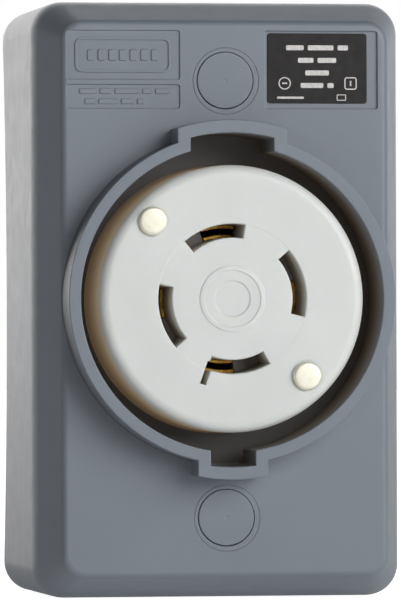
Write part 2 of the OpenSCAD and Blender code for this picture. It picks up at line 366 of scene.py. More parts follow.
def shroud_shade_mask(shader, r, z_top, z_low):
    """Mask of the painted shade deep in the shroud: 1 deep inside a cylinder of radius r about the front axis, fading
    to 0 at z_top.
    """
    flat = shader.node("ShaderNodeVectorMath", operation="MULTIPLY")
    flat.inputs[1].default_value = (1, 0, 1)
    shader.link(shader.place, flat.inputs[0])
    length = shader.node("ShaderNodeVectorMath", operation="LENGTH")
    shader.link(flat.outputs["Vector"], length.inputs[0])
    near = shader.spread(length.outputs["Value"], 1.0, 0.0, ((r - 0.05) / 1000, r / 1000))
    split = shader.node("ShaderNodeSeparateXYZ")
    shader.link(shader.place, split.inputs[0])
    deep = shader.spread(split.outputs["Y"], 0.0, 1.0, (-z_top / 1000, -z_low / 1000))
    behind = shader.spread(split.outputs["Y"], 1.0, 0.0, (-FLOOR_Z / 1000 + 0.0002, -FLOOR_Z / 1000 + 0.0006))
    both = shader.node("ShaderNodeMath", operation="MULTIPLY")
    shader.link(near, both.inputs[0])
    shader.link(deep, both.inputs[1])
    front_only = shader.node("ShaderNodeMath", operation="MULTIPLY")
    shader.link(both.outputs[0], front_only.inputs[0])
    shader.link(behind, front_only.inputs[1])
    return front_only.outputs[0]


def edge_lightening_mask(shader, radius=0.0003):
    """1 within a hair of a sharp edge, 0 on the flats."""
    soft = shader.node("ShaderNodeBevel", samples=4)
    soft.inputs["Radius"].default_value = radius
    geometry = shader.node("ShaderNodeNewGeometry")
    dot = shader.node("ShaderNodeVectorMath", operation="DOT_PRODUCT")
    shader.link(soft.outputs["Normal"], dot.inputs[0])
    shader.link(geometry.outputs["Normal"], dot.inputs[1])
    return shader.spread(dot.outputs["Value"], 1.0, 0.0, (0.8, 0.995))


def grey_plastic():
    s = Shader("grey_moulded_plastic", Roughness=0.42, IOR=1.5)
    base = s.ramp(s.noise(55, 3), [
        (0.3, srgb(123, 130, 139)), (0.55, srgb(125, 132, 141)), (0.75, srgb(127, 134, 143)),
    ])
    # The colour is lightened by up to 18 percent within a hair of sharp edges.
    lighter = s.mix(edge_lightening_mask(s), (1, 1, 1, 1), (1.18, 1.17, 1.15, 1))
    edge_lightened = multiply(s, base, lighter)
    # Painted shade: deep inside the shroud ring the grey is multiplied by a dark brown, standing in for the shade of
    # the narrow gap.
    s.colour(multiply(s, edge_lightened, s.mix(shroud_shade_mask(s, 31.6, RIM_Z - 2, RIM_Z - 12), (1, 1, 1, 1), (0.6, 0.52, 0.45, 1))))
    s.rough(s.spread(s.noise(260, 4), 0.4, 0.46))
    s.bump(s.noise(5200, 2, 0.6), 0.35, 0.00006, edge=0.00018)
    return s.material


def white_nylon():
    s = Shader("white_nylon", Roughness=0.36, IOR=1.53)
    s.bsdf.inputs["Subsurface Weight"].default_value = 0.6
    s.bsdf.inputs["Subsurface Radius"].default_value = (1.0, 0.86, 0.68)
    s.bsdf.inputs["Subsurface Scale"].default_value = 0.0018
    # Painted shade: the base colour darkens from cream to tan-brown with depth below the face, standing in for light
    # dying down the deep walls and slots.
    split = s.node("ShaderNodeSeparateXYZ")
    s.link(s.place, split.inputs[0])
    depth = s.spread(split.outputs["Y"], 0.0, 1.0, (-FACE_Z / 1000 + 0.0008, -FLOOR_Z / 1000))
    side = s.ramp(depth, [
        (0.0, srgb(229, 231, 229)), (0.2, srgb(222, 215, 202)), (0.6, srgb(178, 168, 161)),
        (1.0, srgb(150, 134, 116)),
    ])
    cloud = s.ramp(s.noise(70, 3), [(0.35, (0.95, 0.955, 0.95, 1)), (0.7, (1.0, 1.0, 1.0, 1))])
    s.colour(multiply(s, side, cloud))
    # Painted glow: an emission on the outer side of the disc, starting just below the face and fading with depth,
    # stands in for light that comes through the nylon into the gap.
    painted_glow = s.ramp(depth, [
        (0.0, (0, 0, 0, 1)), (0.12, (0.15, 0.11, 0.062, 1)), (0.5, (0.125, 0.084, 0.043, 1)),
        (0.8, (0.085, 0.055, 0.031, 1)), (1.0, (0.06, 0.04, 0.024, 1)),
    ])
    flat = s.node("ShaderNodeVectorMath", operation="MULTIPLY")
    flat.inputs[1].default_value = (1, 0, 1)
    s.link(s.place, flat.inputs[0])
    radius = s.node("ShaderNodeVectorMath", operation="LENGTH")
    s.link(flat.outputs["Vector"], radius.inputs[0])
    outer = s.spread(radius.outputs["Value"], 0.0, 1.0, (0.018, 0.022))
    s.link(s.mix(outer, (0.0, 0.0, 0.0, 1), painted_glow), s.bsdf.inputs["Emission Color"])
    s.bsdf.inputs["Emission Strength"].default_value = 1.0
    s.rough(s.spread(s.noise(180, 4), 0.3, 0.46))
    s.bump(s.noise(900, 4, 0.55), 0.25, 0.00008, edge=0.00015)
    return s.material


def black_nylon():
    s = Shader("black_nylon", Roughness=0.5, IOR=1.5)
    s.colour(s.ramp(s.noise(400, 4), [(0.35, srgb(26, 26, 28)), (0.7, srgb(40, 40, 42))]))
    s.rough(s.spread(s.noise(300, 3), 0.42, 0.6))
    s.bump(s.noise(2600, 3, 0.6), 0.4, 0.00008, edge=0.0002)
    return s.material


def metal(name, dark, light, rough, scale=600, stretch=None, edge=0.0001, grain=0.00003, tarnish=None):
    s = Shader(name, Metallic=1.0)
    base = s.ramp(s.noise(scale, 4, 0.6, stretch), [(0.3, dark), (0.7, light)])
    if tarnish:
        patch = s.spread(s.noise(240, 3), 0.0, 1.0, (0.45, 0.72))
        base = s.mix(patch, base, tarnish)
    s.colour(base)
    s.rough(s.spread(s.noise(scale * 1.7, 3, 0.5, stretch), *rough))
    s.bump(s.noise(scale * 3, 3, 0.5, stretch), 0.3, grain, edge=edge)
    return s.material


def fibre():
    s = Shader("red_fibre", Roughness=0.75)
    s.colour(s.ramp(s.noise(900, 5, 0.7), [(0.3, srgb(92, 38, 26)), (0.7, srgb(138, 66, 46))]))
    s.bump(s.noise(2400, 4, 0.7), 0.6, 0.0001)
    return s.material


def label_film():
    s = Shader("label_film", Roughness=0.5, IOR=1.38)
    s.colour(s.ramp(s.noise(500, 4), [(0.3, srgb(27, 24, 24)), (0.7, srgb(36, 33, 33))]))
    s.rough(s.spread(s.noise(800, 3), 0.5, 0.62))
    s.bump(s.noise(1500, 2), 0.15, 0.00004)
    return s.material


def label_ink():
    s = Shader("label_ink", Roughness=0.5)
    s.colour(s.ramp(s.noise(1500, 4), [(0.3, srgb(196, 192, 190)), (0.7, srgb(226, 222, 220))]))
    s.bump(s.noise(3000, 2), 0.1, 0.00003)
    return s.material


GREY = grey_plastic()
NYLON = white_nylon()
BLACK = black_nylon()
ZINC = metal("zinc_plate", srgb(168, 170, 172), srgb(206, 208, 210), (0.24, 0.42), 900)
NICKEL = metal("nickel_plate", srgb(226, 222, 204), srgb(246, 243, 230), (0.2, 0.34), 700)
BRASS = metal("brass", srgb(172, 132, 52), srgb(206, 168, 84), (0.18, 0.36), 500, tarnish=srgb(132, 92, 38))
RIVET_NICKEL = metal("dull_nickel_plate", srgb(240, 236, 214), srgb(252, 249, 234), (0.34, 0.5), 900)
RIVET_NICKEL.node_tree.nodes["Principled BSDF"].inputs["Metallic"].default_value = 0.45
GREEN = metal("green_passivate", srgb(28, 92, 48), srgb(52, 132, 72), (0.26, 0.4), 800)
FIBRE = fibre()
FILM = label_film()
INK = label_ink()


# ---- housing: bevelled open-backed shell with the keyed shroud ring ------------------------------

def side_points(a, b, count):
    return [a + (b - a) * i / count for i in range(1, count)]


def rounded_loop(w, h, r, z, bow=0.0, arc=10, cuts=14):
    """A rounded rectangle, with the long sides drawn in by bow at mid height."""
    def bowed(x, y):
        return x - math.copysign(bow, x) * max(0.0, math.cos(math.pi * y / HEIGHT)) ** 0.8
    points = []
    corners = ((1, 1, 0), (-1, 1, 90), (-1, -1, 180), (1, -1, 270))
    for sx, sy, start in corners:
        cx, cy = sx * (w / 2 - r), sy * (h / 2 - r)
        for i in range(arc + 1):
            a = math.radians(start + 90 * i / arc)
            points.append((cx + r * math.cos(a), cy + r * math.sin(a)))
        if start == 0:
            points += [(x, h / 2) for x in side_points(w / 2 - r, r - w / 2, cuts)]
        elif start == 90:
            points += [(-w / 2, y) for y in side_points(h / 2 - r, r - h / 2, cuts)]
        elif start == 180:
            points += [(x, -h / 2) for x in side_points(r - w / 2, w / 2 - r, cuts)]
        else:
            points += [(w / 2, y) for y in side_points(r - h / 2, h / 2 - r, cuts)]
    return [(bowed(x, y) if bow else x, y, z) for x, y in points]


def rounded_corner(before, corner, after, back, ahead, steps=6):
    """Replaces a corner of a profile by a smooth curve that starts back and ends ahead of it."""
    start = corner + (before - corner).normalized() * back
    end = corner + (after - corner).normalized() * ahead
    points = []
    for i in range(steps + 1):
        t = i / steps
        points.append(start * (1 - t) ** 2 + corner * 2 * t * (1 - t) + end * t ** 2)
    return points


def bevel_profile(z_top):
    """(inset, z) up the outside of the shell, from the rear rim to the edge of the flat front."""
    rear = Vector((0.0, 0.0))
    shoulder = Vector((0.0, SHOULDER_Z))
    brow = Vector((BEVEL_IN, z_top))
    middle = Vector((20.0, z_top))
    points = [Vector((0.0, z)) for z in (0.0, 6.0, 14.0, 22.0, 30.0, 36.0)]
    points[0] = Vector((0.3, 0.0))
    points.insert(1, Vector((0.09, 0.09)))
    points.insert(2, Vector((0.0, 0.3)))
    points += rounded_corner(rear, shoulder, brow, 2.6, 2.6)
    points += rounded_corner(shoulder, brow, middle, 1.3, 0.9)
    return points


def shell_loops(inset, z_top):
    loops = []
    for extra, z in bevel_profile(z_top):
        along = max(0.0, 1 - z / SHOULDER_Z)
        loops.append(rounded_loop(
            WIDTH - 2 * (inset + extra), HEIGHT - 2 * (inset + extra),
            CORNER_R - CORNER_EASE * (inset + min(extra, BEVEL_IN)), z, SIDE_BOW * along ** 1.3,
        ))
    return loops


def keyed_outline(r, top, bottom, grow=0.0, arc=56, key_arc=14):
    """A circle with a key block at 90 and at 270 degrees. grow offsets the whole outline outward."""
    r += grow
    ends = []
    for centre, (w, key_r) in ((90, top), (270, bottom)):
        half = w / 2 + grow
        key_r += grow
        ends.append((centre, math.degrees(math.asin(half / key_r)), math.degrees(math.asin(half / r)), key_r))
    points = []
    for k, (centre, out, root, key_r) in enumerate(ends):
        for i in range(key_arc + 1):
            a = math.radians(centre - out + 2 * out * i / key_arc)
            points.append((key_r * math.cos(a), key_r * math.sin(a)))
        start = centre + root
        other, _, other_root, _ = ends[1 - k]
        end = other - other_root + (360 if other < centre else 0)
        for i in range(arc + 1):
            a = math.radians(start + (end - start) * i / arc)
            points.append((r * math.cos(a), r * math.sin(a)))
    return points


def keyed_solid(name, r, top, bottom, levels):
    return loft(name, [[(x, y, z) for x, y in keyed_outline(r, top, bottom, grow)] for grow, z in levels])


def quarter(radius, z_top, sign, steps=4):
    """(grow, z) levels that round an edge off just below z_top."""
    return [
        (sign * radius * (1 - math.cos(math.radians(90 * i / steps))),
         z_top - radius + radius * math.sin(math.radians(90 * i / steps)))
        for i in range(steps + 1)
    ]


def panel_cutter(x0, x1, y0, y1, depth, corner):
    """A shallow recess in the flat front, with rounded corners and slightly drafted walls."""
    w, h = x1 - x0, y1 - y0
    centre = Vector(((x0 + x1) / 2, (y0 + y1) / 2, 0))
    loops = []
    for grow, z in ((-0.06, FRONT_Z - depth), (0.0, FRONT_Z - 0.05), (0.08, FRONT_Z + 0.01), (0.08, FRONT_Z + 1)):
        loop = rounded_loop(w + 2 * grow, h + 2 * grow, corner + grow, z, arc=6, cuts=2)
        loops.append([Vector(p) + centre for p in loop])
    return loft("cutter", loops)


def groove_ring(r, width, depth, at):
    """A fine V-groove in the flat front, as a cutter."""
    top = FRONT_Z + 0.2
    profile = [(r - width / 2, top), (r - width / 2, FRONT_Z), (r, FRONT_Z - depth),
               (r + width / 2, FRONT_Z), (r + width / 2, top)]
    loops = [[(at[0] + p * math.cos(a), at[1] + p * math.sin(a), z) for p, z in profile]
             for a in [2 * math.pi * i / 96 for i in range(96)]]
    return loft("cutter", loops, closed=True)


def build_housing():
    outside = shell_loops(0, FRONT_Z)
    inside = shell_loops(WALL, FRONT_Z - WALL)
    inside[0] = [(x, y, 0.0) for x, y, _ in inside[2]]
    del inside[1]
    shell = loft("housing_shell", list(reversed(inside)) + outside)
    skirt_low = bridge_high.z
    combine(shell, lathe("skirt", disc_profile(SKIRT_R, skirt_low, FLOOR_Z + GROOVE_H), 128), "UNION")
    tube = disc_profile(TUBE_R, FLOOR_Z + GROOVE_H - 0.5, FRONT_Z - WALL)
    combine(shell, lathe("tube", tube, 128), "UNION")
    ring_levels = [(0, FLOOR_Z + GROOVE_H - 0.5)] + quarter(RIM_ROUND, RIM_Z, -1)
    combine(shell, keyed_solid("ring", RING_OUT_R, KEY_TOP_OUT, KEY_BOTTOM_OUT, ring_levels), "UNION")
    for s in (-1, 1):
        post = disc_profile(POST_R, skirt_low, FRONT_Z - WALL + 1)
        combine(shell, lathe("post", post, 64, (0, s * MOUNT_Y)), "UNION")
        tab = Matrix.Rotation(math.radians(45), 2) @ Vector((s * 33.5, 0))
        combine(shell, lathe("boss", disc_profile(3.2, skirt_low, SHOULDER_Z + 2), 40, tab), "UNION")
    bore_levels = [(0, FLOOR_Z)] + quarter(RIM_ROUND, RIM_Z, 1) + [(RIM_ROUND, RIM_Z + 1)]
    combine(shell, keyed_solid("cutter", RING_R, KEY_TOP, KEY_BOTTOM, bore_levels), "DIFFERENCE")
    combine(shell, cut_disc(GROOVE_R, FLOOR_Z, FLOOR_Z + GROOVE_H, steps=128), "DIFFERENCE")
    combine(shell, cut_disc(SPIGOT_GAP_R, BASE_Z - 1, FLOOR_Z + 1, steps=128), "DIFFERENCE")
    combine(shell, cut_disc(BASE_R, skirt_low - 1, BASE_Z, steps=128), "DIFFERENCE")
    for s in (-1, 1):
        y = s * MOUNT_Y
        combine(shell, cut_disc(CAP_R + 0.1, FRONT_Z - 2.2, FRONT_Z + 1, (0, y), 80), "DIFFERENCE")
        combine(shell, cut_disc(4.2, SEAT_Z, FRONT_Z - 1, (0, y), 64), "DIFFERENCE")
        combine(shell, cut_disc(2.1, skirt_low - 1, SEAT_Z + 1, (0, y), 48), "DIFFERENCE")
        tab = Matrix.Rotation(math.radians(45), 2) @ Vector((s * 33.5, 0))
        combine(shell, cut_disc(1.15, skirt_low - 1, skirt_low + 9, tab, 32), "DIFFERENCE")
    for low, high in PANELS:
        combine(shell, panel_cutter(low[0], high[0], low[1], high[1], 0.32, 0.5), "DIFFERENCE")
    combine(shell, panel_cutter(*LABEL_RECESS, 0.48, 0.45), "DIFFERENCE")
    for s in (-1, 1):
        combine(shell, groove_ring(6.35, 0.2, 0.14, (0.12, s * MOUNT_Y - 0.1)), "DIFFERENCE")
    tidy_mesh(shell)
    return place(shell, ROOT, "grey_plastic", GREY, "housing", angle=28)


# ---- receptacle face ------------------------------------------------------------------------------

SLOT_IN_R = 11.6
SLOT_OUT_R = 14.2
SLOT_SPANS = ((80, 50), (169, 51), (250, 50), (-14, 54))
SHELF_Z = FACE_Z - 11.5
THROUGH_ARC = 29
RIVET_SPOTS = ((136, 21.2), (-45.8, 20.5))


def polar(r, angle):
    return (r * math.cos(math.radians(angle)), r * math.sin(math.radians(angle)))


def sector_loops(r_in, r_out, start, span, levels, steps=22):
    """Loops of an arc-shaped slot; levels are (grow, z)."""
    loops = []
    for grow, z in levels:
        a0 = start - math.degrees(grow / r_in)
        a1 = start + span + math.degrees(grow / r_in)
        angles = [math.radians(a0 + (a1 - a0) * i / steps) for i in range(steps + 1)]
        outer = [((r_out + grow) * math.cos(a), (r_out + grow) * math.sin(a), z) for a in angles]
        inner = [((r_in - grow) * math.cos(a), (r_in - grow) * math.sin(a), z) for a in reversed(angles)]
        loops.append(outer + inner)
    return loops


def build_face():
    edge = 2.0
    profile = [(0, bridge_low.z), (23.3, bridge_low.z), (23.3, bridge_high.z), (27.8, bridge_high.z),
               (27.8, BASE_Z), (25.2, BASE_Z), (25.2, FLOOR_Z), (25.4, FLOOR_Z + 0.1)]
    for i in range(9):
        a = math.radians(90 * i / 8)
        profile.append((25.4 - edge + edge * math.cos(a), FACE_Z - edge + edge * math.sin(a)))
    # a faint moulded disc, a raised ring round the ejector mark and a shallow dimple in the middle
    profile += [
        (14.45, FACE_Z), (14.3, FACE_Z - 0.05), (14.15, FACE_Z - 0.05),
        (6.35, FACE_Z - 0.05), (6.15, FACE_Z + 0.12), (5.5, FACE_Z + 0.16), (5.3, FACE_Z - 0.02),
        (3.5, FACE_Z - 0.05), (3.3, FACE_Z - 0.28), (0, FACE_Z - 0.34),
    ]
    face = lathe("receptacle_disc", profile, 160)
    lip = [(0, SHELF_Z), (0, FACE_Z - 0.4), (0.04, FACE_Z - 0.2), (0.22, FACE_Z), (0.22, FACE_Z + 1)]
    for start, span in SLOT_SPANS:
        combine(face, loft("cutter", sector_loops(SLOT_IN_R, SLOT_OUT_R, start, span, lip)), "DIFFERENCE")
        deep = [(-0.01, bridge_low.z - 1), (-0.01, SHELF_Z + 1)]
        well = sector_loops(SLOT_IN_R, SLOT_OUT_R, start, THROUGH_ARC, deep)
        combine(face, loft("cutter", well), "DIFFERENCE")
    key = block("cutter", 12.6, 17.2, -0.6, 0.6, SHELF_Z + 0.5, FACE_Z + 1)
    key.data.transform(Matrix.Rotation(math.radians(250.5), 4, "Z"))
    combine(face, key, "DIFFERENCE")
    for angle, r in RIVET_SPOTS:
        at = polar(r, angle)
        combine(face, cut_disc(1.65, bridge_low.z - 1, FACE_Z + 1, at, 40), "DIFFERENCE")
        dish = [(0, FACE_Z - 0.16), (2.95, FACE_Z - 0.16), (3.4, FACE_Z + 0.02), (3.4, FACE_Z + 1), (0, FACE_Z + 1)]
        combine(face, lathe("cutter", dish, 64, at), "DIFFERENCE")
    tidy_mesh(face)
    return place(face, ROOT, "white_nylon", NYLON, "receptacle_face", angle=25)


def build_rivets():
    back = body_low.z
    parts = []
    for angle, r in RIVET_SPOTS:
        profile = [(0, back + 1.2), (0.9, back + 1.2), (1.0, back - 0.4), (1.35, back - 0.95),
                   (1.9, back - 0.98), (2.45, back - 0.7), (2.6, back - 0.25), (2.5, back), (1.6, back),
                   (1.6, FACE_Z), (2.55, FACE_Z), (2.72, FACE_Z + 0.12), (2.75, FACE_Z + 0.3)]
        for i in range(1, 7):
            a = math.radians(90 * i / 6)
            profile.append((2.15 + 0.6 * math.cos(a), FACE_Z + 0.36 + 0.6 * math.sin(a)))
        profile += [(1.0, FACE_Z + 0.975), (0, FACE_Z + 0.98)]
        parts.append(lathe("assembly_rivet", profile, 72, polar(r, angle)))
    return place(merge("assembly_rivet_pair", parts), ROOT, "nickel_plate", RIVET_NICKEL, "assembly_rivets", angle=40)


def merge(name, parts):
    bm = bmesh.new()
    for part in parts:
        bm.from_mesh(part.data)
        bpy.data.objects.remove(part)
    return new_object(name, bm)


# ---- blade contacts -------------------------------------------------------------------------------

def leaf(r_mid, start, span, low, high, pinch, thickness=0.6, steps=20):
    """A curved brass leaf that pinches the blade by pinch, with a lead-in at its tip."""
    rows = [(low, 0.0), (low + 5, 0.0), (high - 7.5, 0.45 * pinch), (high - 4.6, 0.95 * pinch),
            (high - 3.4, pinch), (high - 2.2, 0.82 * pinch), (high - 0.9, 0.25 * pinch), (high, 0.0)]
    angles = [math.radians(start + span * i / steps) for i in range(steps + 1)]
    loops = []
    for z, shift in rows:
        r_out, r_in = r_mid + shift + thickness / 2, r_mid + shift - thickness / 2
        loops.append(
            [(r_out * math.cos(a), r_out * math.sin(a), z) for a in angles]
            + [(r_in * math.cos(a), r_in * math.sin(a), z) for a in reversed(angles)]
        )
    return loft("leaf", loops)


def polar_block(angle, r0, r1, half, z0, z1):
    piece = block("bar", r0, r1, -half, half, z0, z1)
    piece.data.transform(Matrix.Rotation(math.radians(angle), 4, "Z"))
    return piece


TERMINALS = {"x": (90, 0), "y": (180, 1), "z": (0, 3), "ground": (270, 2)}
WEB_Z = body_low.z + 22.4
TERMINAL_Z = body_low.z + 10
LEG_R = 17.4
LEG_T = 1.5
CLAMP_R = 22.2
CLAMP_T = 1.4
THREAD_PITCH = 0.79375


def build_contact(name):
    angle, which = TERMINALS[name]
    start, span = SLOT_SPANS[which][0] + 1, THROUGH_ARC - 2
    tip = FACE_Z - 11
    contact = leaf(11.97, start, span, WEB_Z, tip, 0.62)
    contact.name = "blade_contact_" + name
    combine(contact, leaf(13.83, start, span, WEB_Z, tip, -0.62), "UNION")
    web = loft("web", sector_loops(11.67, 14.13, start, span, [(0, WEB_Z), (0, WEB_Z + 1.5)]))
    combine(contact, web, "UNION")
    combine(contact, polar_block(angle, 12.6, LEG_R + LEG_T, 4.5, WEB_Z, WEB_Z + 1.5), "UNION")
    combine(contact, polar_block(angle, LEG_R, LEG_R + LEG_T, 4.5, body_low.z + 2, WEB_Z + 1), "UNION")
    combine(contact, radial_disc(angle, 1.95, LEG_R - 1, LEG_R + LEG_T + 1), "DIFFERENCE")
    round_edges(contact, 0.12, 2, 40)
    return place(contact, ROOT, "brass", BRASS, "contact_" + name)


def radial_turn(angle):
    """Turns a solid drawn along +Z so that it points outward along a terminal's axis."""
    return (
        Matrix.Translation((0, 0, TERMINAL_Z))
        @ Matrix.Rotation(math.radians(angle), 4, "Z")
        @ Matrix.Rotation(math.radians(90), 4, "Y")
    )


def radial_disc(angle, r, inner, outer, steps=40):
    return lathe("cutter", disc_profile(r, inner, outer), steps, axis_turn=radial_turn(angle))


# ---- threads, screws, clamps and washers ------------------------------------------------------------

def threaded(name, r, z0, z1, pitch, depth, steps=32, rows_per_turn=6, shank=(), turn=None):
    """A screw shaft with a real helical thread from z0 to z1; shank carries on as (radius, z) past z1."""
    count = int((z1 - z0) / pitch * rows_per_turn)
    levels = [z0 + (z1 - z0) * i / count for i in range(count + 1)]
    loops = [[(0.55 * r * math.cos(2 * math.pi * i / steps), 0.55 * r * math.sin(2 * math.pi * i / steps), z0 - 0.0)
              for i in range(steps)]]
    for z in levels:
        lead = min(1.0, (z - z0 + 0.25) / (1.5 * pitch))
        loop = []
        for i in range(steps):
            phase = (z / pitch - i / steps) % 1.0
            ridge = max(0.0, 1 - abs(phase - 0.5) * 2.4)
            radius = (r - depth + depth * min(1.0, ridge * 1.5)) * (0.72 + 0.28 * lead)
            loop.append((radius * math.cos(2 * math.pi * i / steps), radius * math.sin(2 * math.pi * i / steps), z))
        loops.append(loop)
    for radius, z in shank:
        loops.append([(radius * math.cos(2 * math.pi * i / steps), radius * math.sin(2 * math.pi * i / steps), z)
                      for i in range(steps)])
    made = loft(name, loops)
    if turn is not None:
        made.data.transform(turn)
    return made


def pan_head(r, base, top, turn=None, steps=56, foot=0.25):
    """A domed screw head standing on base, with a small rolled rim."""
    h = top - base
    profile = [(0, base), (r - foot, base), (r, base + foot)]
    for i in range(7):
        a = math.radians(90 * i / 6)
        profile.append((r - 0.32 * h + 0.32 * h * math.cos(a), top - 0.55 * h + 0.47 * h * math.sin(a)))
    profile += [(0.5 * r, top - 0.02 * h), (0, top)]
    return lathe("head", profile, steps, axis_turn=turn)


def drive_slot(width, depth, reach, top, angle=0.0, turn=None):
    cutter = block("cutter", -reach, reach, -width / 2, width / 2, top - depth, top + 1)
    cutter.data.transform(Matrix.Rotation(math.radians(angle), 4, "Z"))
    if turn is not None:
        cutter.data.transform(turn)
    return cutter


def build_mounting_screw(side, s):
    body = "mounting_screw_" + side
    lift = Matrix.Translation((0, s * MOUNT_Y, 0))
    tip = screw_low.z
    shank = ((1.42, 14.4), (1.55, 15.0), (1.55, SEAT_Z + 0.2))
    screw = threaded("oval_head_screw_" + side, 1.75, tip, 14.0, THREAD_PITCH, 0.36, shank=shank, turn=lift)
    combine(screw, pan_head(3.4, SEAT_Z, SEAT_Z + 2.4, lift), "UNION")
    combine(screw, drive_slot(0.95, 1.15, 4.5, SEAT_Z + 2.4, 25 * s, lift), "DIFFERENCE")
    return place(screw, body, "zinc_steel", ZINC, body, angle=30)


def build_washer(side, s):
    body = "retaining_washer_" + side
    low, high = washer_low.z, washer_high.z
    profile = [(1.6, low + 0.1), (1.7, low), (3.85, low), (4.0, low + 0.15), (4.0, high - 0.15), (3.85, high),
               (1.7, high), (1.6, high - 0.1)]
    loops = []
    for i in range(64):
        a = 2 * math.pi * i / 64
        loops.append([(r * math.cos(a), s * MOUNT_Y + r * math.sin(a), z) for r, z in profile])
    washer = loft("fibre_washer_" + side, loops, closed=True)
    for i in range(4):
        nick = block("cutter", 1.4, 2.5, -0.2, 0.2, low - 1, high + 1)
        turn = Matrix.Translation((0, s * MOUNT_Y, 0)) @ Matrix.Rotation(math.radians(90 * i + 30), 4, "Z")
        nick.data.transform(turn)
        combine(washer, nick, "DIFFERENCE")
    return place(washer, body, "red_fibre", FIBRE, body, angle=30)


def build_terminal_screw(name):
    angle = TERMINALS[name][0]
    body = "terminal_screw_" + name
    turn = radial_turn(angle)
    head, top = CLAMP_R + CLAMP_T, CLAMP_R + CLAMP_T + 2.4
    screw = threaded("binding_screw_" + name, 1.9, LEG_R - 0.6, head - 0.4, THREAD_PITCH, 0.33,
                     shank=((1.6, head + 0.1),), turn=turn)
    combine(screw, pan_head(4.1, head, top, turn, foot=0.35), "UNION")
    for extra in (0, 90):
        reach = 4.5 if extra == 0 else 2.1
        combine(screw, drive_slot(1.0, 1.15, reach, top, 20 + extra, turn), "DIFFERENCE")
    green = name == "ground"
    return place(screw, body, "green_steel" if green else "brass", GREEN if green else BRASS, body, angle=30)


def build_clamp(name):
    """A pressure plate with serrations across its wire side."""
    angle = TERMINALS[name][0]
    body = "wire_clamp_" + name
    low, high = TERMINAL_Z - 7, TERMINAL_Z + 7
    profile = [(CLAMP_R + CLAMP_T, high), (CLAMP_R + CLAMP_T, low), (CLAMP_R + 0.25, low)]
    teeth = 14
    for i in range(teeth):
        z = low + (high - low) * (i + 0.5) / teeth
        profile.append((CLAMP_R, z))
        if i < teeth - 1:
            profile.append((CLAMP_R + 0.25, low + (high - low) * (i + 1) / teeth))
    profile.append((CLAMP_R + 0.25, high))
    clamp = loft("pressure_plate_" + name, [[(x, y, z) for x, z in profile] for y in (-4.5, 4.5)])
    clamp.data.transform(Matrix.Rotation(math.radians(angle), 4, "Z"))
    combine(clamp, radial_disc(angle, 2.0, CLAMP_R - 1, CLAMP_R + CLAMP_T + 1), "DIFFERENCE")
    for side in (-1, 1):
        for end in (low, high):
            corner = polar_block(angle, CLAMP_R - 1, CLAMP_R + CLAMP_T + 1, 0.9, -0.9, 0.9)
            spin = Matrix.Rotation(math.radians(angle), 4, "Z")
            tilt = spin @ Matrix.Rotation(math.radians(45), 4, "X") @ spin.inverted()
            reach = Matrix.Translation(spin @ Vector((0, side * 4.5, 0))) @ Matrix.Translation((0, 0, end))
            corner.data.transform(reach @ tilt)
            combine(clamp, corner, "DIFFERENCE")
    return place(clamp, body, "nickel_plate", NICKEL, body, angle=30)


# ---- bridge, its screws and the ground strap ---------------------------------------------------------

def build_bridge():
    low, high = bridge_low.z, bridge_high.z
    ear_y = bridge_high.y
    plate = lathe("steel_bridge", disc_profile(32, low, high), 128)
    ears = rounded_loop(20, 2 * ear_y, 2.5, low, arc=8, cuts=2)
    combine(plate, loft("ears", [ears, [(x, y, high) for x, y, _ in ears]]), "UNION")
    for s in (-1, 1):
        tab = Matrix.Rotation(math.radians(45), 2) @ Vector((s * 33.5, 0))
        combine(plate, lathe("tab", disc_profile(4, low, high), 48, tab), "UNION")
    combine(plate, cut_disc(23.6, low - 1, high + 1, steps=128), "DIFFERENCE")
    for s in (-1, 1):
        tab = Matrix.Rotation(math.radians(45), 2) @ Vector((s * 33.5, 0))
        combine(plate, cut_disc(1.3, low - 1, high + 1, tab, 32), "DIFFERENCE")
        combine(plate, cut_disc(2.1, low - 1, high + 1, (0, s * MOUNT_Y), 48), "DIFFERENCE")
        for x in (-7, 7):
            bead = loft("cutter", [rounded_loop(w, 9 + w - 1.6, w / 2 - 0.01, z, arc=6, cuts=2) for w, z in
                                   ((2.0, low - 0.2), (1.6, low), (0.9, low + 0.4))])
            bead.data.transform(Matrix.Translation((x, s * (ear_y - 8), 0)))
            combine(plate, bead, "DIFFERENCE")
    round_edges(plate, 0.2, 2, 50)
    return place(plate, ROOT, "zinc_steel", ZINC, "mounting_bridge", angle=35)


def build_bridge_screws():
    low = bridge_low.z
    parts = []
    for s in (-1, 1):
        at = Matrix.Rotation(math.radians(45), 2) @ Vector((s * 33.5, 0))
        flip = Matrix.Translation((at.x, at.y, low)) @ Matrix.Rotation(math.radians(180), 4, "X")
        screw = pan_head(2.4, 0, 1.6, flip, 40, 0.15)
        thread = threaded("thread", 1.1, 0, 8.0, 0.9, 0.28, 24, 6)
        shift = Matrix.Translation((at.x, at.y, low + 9.5)) @ Matrix.Rotation(math.radians(180), 4, "X")
        thread.data.transform(shift @ Matrix.Translation((0, 0, 0)))
        shaft = lathe("shaft", disc_profile(0.85, low - 0.3, low + 3), 24, at)
        combine(screw, shaft, "UNION")
        combine(screw, thread, "UNION")
        for extra in (0, 90):
            combine(screw, drive_slot(0.6, 0.8, 1.3, 1.6, 15 + extra, flip), "DIFFERENCE")
        parts.append(screw)
    pair = merge("bridge_screw_pair", parts)
    return place(pair, ROOT, "zinc_steel", ZINC, "bridge_screws", angle=30)


